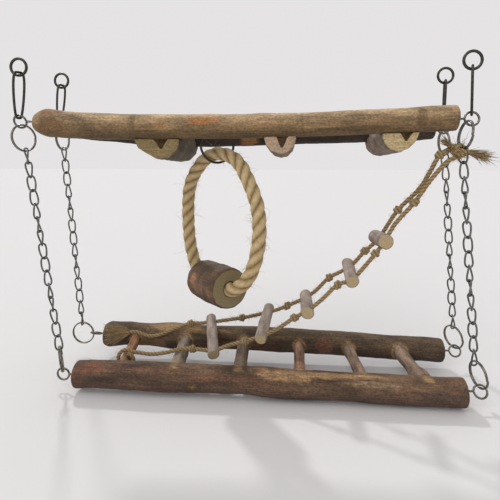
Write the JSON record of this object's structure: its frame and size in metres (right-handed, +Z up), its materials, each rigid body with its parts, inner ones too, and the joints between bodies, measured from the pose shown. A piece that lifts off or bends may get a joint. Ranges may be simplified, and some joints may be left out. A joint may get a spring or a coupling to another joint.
{
  "type": "small pet hanging bridge",
  "caption": "Frames of natural branches hung one above the other on chains, with a rope ladder between them and a rope ring swing that carries a perch log.",
  "frame": {"origin": "between the four hang rings, at the height where the cage's wires touch them", "axes": "+X along the rails towards the ladder's top, +Y to the rear, +Z up"},
  "size_m": [0.3168, 0.0801, 0.2262],
  "materials": {
    "dark_wire": "dark plated wire",
    "nickel": "bright plated wire",
    "chain_steel": "bright",
    "log_wood": "bark and sawn ends",
    "light_bark": "light bark",
    "dark_bark": "dark bark",
    "deck_bark": "reddish bark",
    "rung_bark": "bark",
    "perch_bark": "reddish bark",
    "twig": "smooth bark",
    "sisal": "laid rope",
    "jute": "hairy twine"
  },
  "bodies": {
    "hangers": {"hang_ring_front_left": "dark_wire", "hang_ring_front_right": "dark_wire", "hang_ring_rear_left": "dark_wire", "hang_ring_rear_right": "dark_wire"},
    "hook_front_left": {"hook_front_left": "dark_wire"},
    "hook_front_right": {"hook_front_right": "dark_wire"},
    "hook_rear_left": {"hook_rear_left": "dark_wire"},
    "hook_rear_right": {"hook_rear_right": "dark_wire"},
    "upper_frame": {"upper_front_rail": "light_bark", "upper_rear_rail": "dark_bark", "cross_log_1": "log_wood", "cross_log_2": "log_wood", "cross_log_3": "log_wood", "swing_eye": "nickel", "upper_eye_front_left": "nickel", "upper_eye_front_right": "nickel", "upper_eye_rear_left": "nickel", "upper_eye_rear_right": "nickel"},
    "chain_front_left": {"upper_split_ring_front_left": "nickel", "chain_front_left": "chain_steel", "deck_split_ring_front_left": "nickel"},
    "chain_front_right": {"upper_split_ring_front_right": "nickel", "chain_front_right": "chain_steel", "deck_split_ring_front_right": "nickel", "ladder_top_knot": "jute", "ladder_rope_front": "jute", "ladder_rope_rear": "jute"},
    "chain_rear_left": {"upper_split_ring_rear_left": "nickel", "chain_rear_left": "chain_steel", "deck_split_ring_rear_left": "nickel"},
    "chain_rear_right": {"upper_split_ring_rear_right": "nickel", "chain_rear_right": "chain_steel", "deck_split_ring_rear_right": "nickel"},
    "lower_frame": {"deck_front_rail": "deck_bark", "deck_rear_rail": "deck_bark", "deck_rung_1": "rung_bark", "deck_rung_2": "rung_bark", "deck_rung_3": "rung_bark", "deck_rung_4": "rung_bark", "deck_rung_5": "rung_bark", "deck_rung_6": "rung_bark", "deck_eye_front_left": "nickel", "deck_eye_front_right": "nickel", "deck_eye_rear_left": "nickel", "deck_eye_rear_right": "nickel", "ladder_rung_4": "twig", "ladder_rung_5": "twig"},
    "ladder_rung_1": {"ladder_rung_1": "twig"},
    "ladder_rung_2": {"ladder_rung_2": "twig"},
    "ladder_rung_3": {"ladder_rung_3": "twig"},
    "swing_ring": {"swing_ring": "dark_wire"},
    "rope_ring": {"rope_ring": "sisal"},
    "perch": {"perch_log": "perch_bark"}
  },
  "joints": [
    {"name": "hook_swing_front_left", "type": "hinge", "parent": "hangers", "child": "hook_front_left", "pos_m": [-0.14254, -0.02794, -0.0097], "axis": [1, 0, 0], "range_deg": [-15, 15]},
    {"name": "hook_swing_front_right", "type": "hinge", "parent": "hangers", "child": "hook_front_right", "pos_m": [0.14177, -0.02567, -0.0097], "axis": [1, 0, 0], "range_deg": [-15.3, 15.3]},
    {"name": "hook_swing_rear_left", "type": "hinge", "parent": "hangers", "child": "hook_rear_left", "pos_m": [-0.14234, 0.02567, -0.0097], "axis": [1, 0, 0], "range_deg": [-16.1, 16.1]},
    {"name": "hook_swing_rear_right", "type": "hinge", "parent": "hangers", "child": "hook_rear_right", "pos_m": [0.14456, 0.02733, -0.0097], "axis": [1, 0, 0], "range_deg": [-14, 14]},
    {"name": "upper_frame_level", "type": "hinge", "parent": "hook_front_left", "child": "upper_frame", "pos_m": [-0.14454, -0.02794, -0.03515], "axis": [1, 0, 0], "range_deg": [-15, 15]},
    {"name": "deck_sway", "type": "hinge", "parent": "upper_frame", "child": "chain_front_right", "pos_m": [0.13868, -0.02687, -0.04022], "axis": [0, -1, 0], "range_deg": [-9, 7]},
    {"name": "chain_sway_front_left", "type": "hinge", "parent": "upper_frame", "child": "chain_front_left", "pos_m": [-0.14454, -0.02506, -0.0412], "axis": [0, -1, 0], "range_deg": [-9.3, 7.3]},
    {"name": "chain_sway_rear_left", "type": "hinge", "parent": "upper_frame", "child": "chain_rear_left", "pos_m": [-0.14506, 0.02734, -0.04005], "axis": [0, -1, 0], "range_deg": [-9.5, 7.4]},
    {"name": "chain_sway_rear_right", "type": "hinge", "parent": "upper_frame", "child": "chain_rear_right", "pos_m": [0.14456, 0.02567, -0.04382], "axis": [0, -1, 0], "range_deg": [-9.6, 7.5]},
    {"name": "deck_level", "type": "hinge", "parent": "chain_front_right", "child": "lower_frame", "pos_m": [0.15812, -0.02413, -0.21198], "axis": [0, -1, 0], "range_deg": [-7.2, 9.2], "deforming": ["ladder_rope_front", "ladder_rope_rear"]},
    {"name": "ladder_bend_1", "type": "hinge", "parent": "chain_front_right", "child": "ladder_rung_1", "pos_m": [0.15812, -0.02413, -0.21198], "axis": [0, -1, 0], "range_deg": [-2.5, 3.2]},
    {"name": "ladder_bend_2", "type": "hinge", "parent": "chain_front_right", "child": "ladder_rung_2", "pos_m": [0.15812, -0.02413, -0.21198], "axis": [0, -1, 0], "range_deg": [-4.5, 5.7]},
    {"name": "ladder_bend_3", "type": "hinge", "parent": "chain_front_right", "child": "ladder_rung_3", "pos_m": [0.15812, -0.02413, -0.21198], "axis": [0, -1, 0], "range_deg": [-6.2, 7.9]},
    {"name": "swing_ring_sway", "type": "hinge", "parent": "upper_frame", "child": "swing_ring", "pos_m": [-0.01566, -0.0101, -0.04189], "axis": [0, 1, 0], "range_deg": [-10, 10]},
    {"name": "rope_ring_swing", "type": "hinge", "parent": "swing_ring", "child": "rope_ring", "pos_m": [-0.01566, -0.0101, -0.06629], "axis": [0.8309, 0.5564, 0], "range_deg": [-8, 8]},
    {"name": "perch_roll", "type": "hinge", "parent": "rope_ring", "child": "perch", "pos_m": [-0.01747, -0.0098, -0.15104], "axis": [0.6017, -0.7963, 0.0619], "continuous": true}
  ],
  "couplings": [
    {"joint": "hook_swing_front_right", "follows": "hook_swing_front_left", "ratio": 1.0068},
    {"joint": "hook_swing_rear_left", "follows": "hook_swing_front_left", "ratio": 1.0602},
    {"joint": "hook_swing_rear_right", "follows": "hook_swing_front_left", "ratio": 0.9178},
    {"joint": "upper_frame_level", "follows": "hook_swing_front_left", "ratio": -1},
    {"joint": "chain_sway_front_left", "follows": "deck_sway", "ratio": 1.0072},
    {"joint": "chain_sway_rear_left", "follows": "deck_sway", "ratio": 1.0302},
    {"joint": "chain_sway_rear_right", "follows": "deck_sway", "ratio": 1.0403},
    {"joint": "deck_level", "follows": "deck_sway", "ratio": -1.0048},
    {"joint": "ladder_bend_1", "follows": "deck_sway", "ratio": -0.3354},
    {"joint": "ladder_bend_2", "follows": "deck_sway", "ratio": -0.6133},
    {"joint": "ladder_bend_3", "follows": "deck_sway", "ratio": -0.8588}
  ]
}
